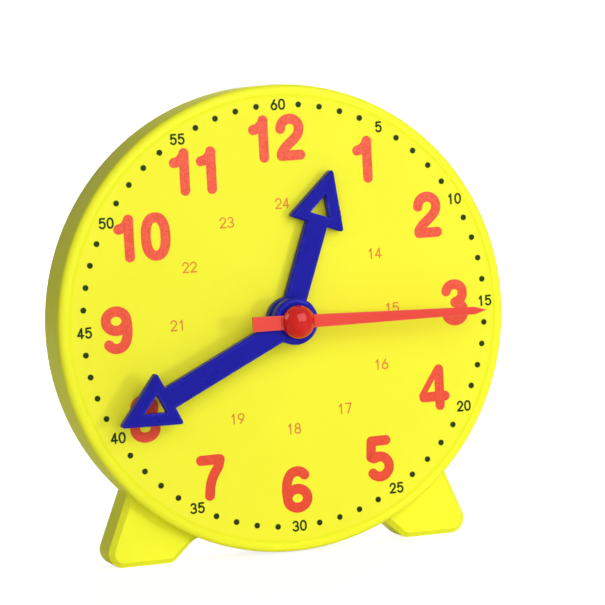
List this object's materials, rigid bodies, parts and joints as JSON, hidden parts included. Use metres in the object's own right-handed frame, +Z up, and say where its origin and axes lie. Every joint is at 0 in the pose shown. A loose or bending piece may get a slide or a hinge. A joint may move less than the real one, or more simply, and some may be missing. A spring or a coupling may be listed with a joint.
{
  "type": "geared teaching clock",
  "caption": "Round yellow teaching clock on two moulded feet, with geared hour and minute hands, a free second hand and a rear setting knob.",
  "frame": {"origin": "on the ground, under the middle of the clock's outer box", "axes": "+Z up, +Y away from someone who reads the dial, +X to their right; the dial faces -Y"},
  "size_m": [0.1, 0.0306, 0.1005],
  "materials": {
    "front_housing": "moulded, semi-gloss",
    "rear_cover": "moulded, satin",
    "cover_screws": "zinc plated",
    "hour_hand": "moulded, semi-gloss",
    "minute_hand": "moulded, semi-gloss",
    "second_hand": "clear tinted, gloss",
    "centre_cap": "moulded, gloss",
    "hour_wheel": "moulded, natural",
    "minute_arbor": "moulded, natural",
    "drive_pinion": "moulded, natural",
    "idler_gear": "moulded, natural",
    "idler_axle": "ground",
    "friction_washer": "spring steel",
    "setting_knob": "moulded, semi-gloss"
  },
  "bodies": {
    "case": {"front_housing": "front_housing", "rear_cover": "rear_cover", "cover_screws": "cover_screws", "idler_axle": "idler_axle"},
    "minute": {"minute_hand": "minute_hand", "minute_arbor": "minute_arbor", "drive_pinion": "drive_pinion", "friction_washer": "friction_washer", "setting_knob": "setting_knob"},
    "idler": {"idler_gear": "idler_gear"},
    "hour": {"hour_hand": "hour_hand", "hour_wheel": "hour_wheel"},
    "second": {"second_hand": "second_hand", "centre_cap": "centre_cap"}
  },
  "joints": [
    {"name": "minute_turn", "type": "hinge", "parent": "case", "child": "minute", "pos_m": [0, -0.00495, 0.05045], "axis": [0, 1, 0], "continuous": true},
    {"name": "idler_turn", "type": "hinge", "parent": "case", "child": "idler", "pos_m": [0, -0.00495, 0.0278], "axis": [0, 1, 0], "continuous": true},
    {"name": "hour_turn", "type": "hinge", "parent": "case", "child": "hour", "pos_m": [0, -0.00495, 0.05045], "axis": [0, 1, 0], "continuous": true},
    {"name": "second_turn", "type": "hinge", "parent": "minute", "child": "second", "pos_m": [0, -0.00495, 0.05045], "axis": [0, 1, 0], "continuous": true}
  ],
  "couplings": [
    {"joint": "idler_turn", "follows": "minute_turn", "ratio": -0.33333},
    {"joint": "hour_turn", "follows": "minute_turn", "ratio": 0.083333}
  ]
}
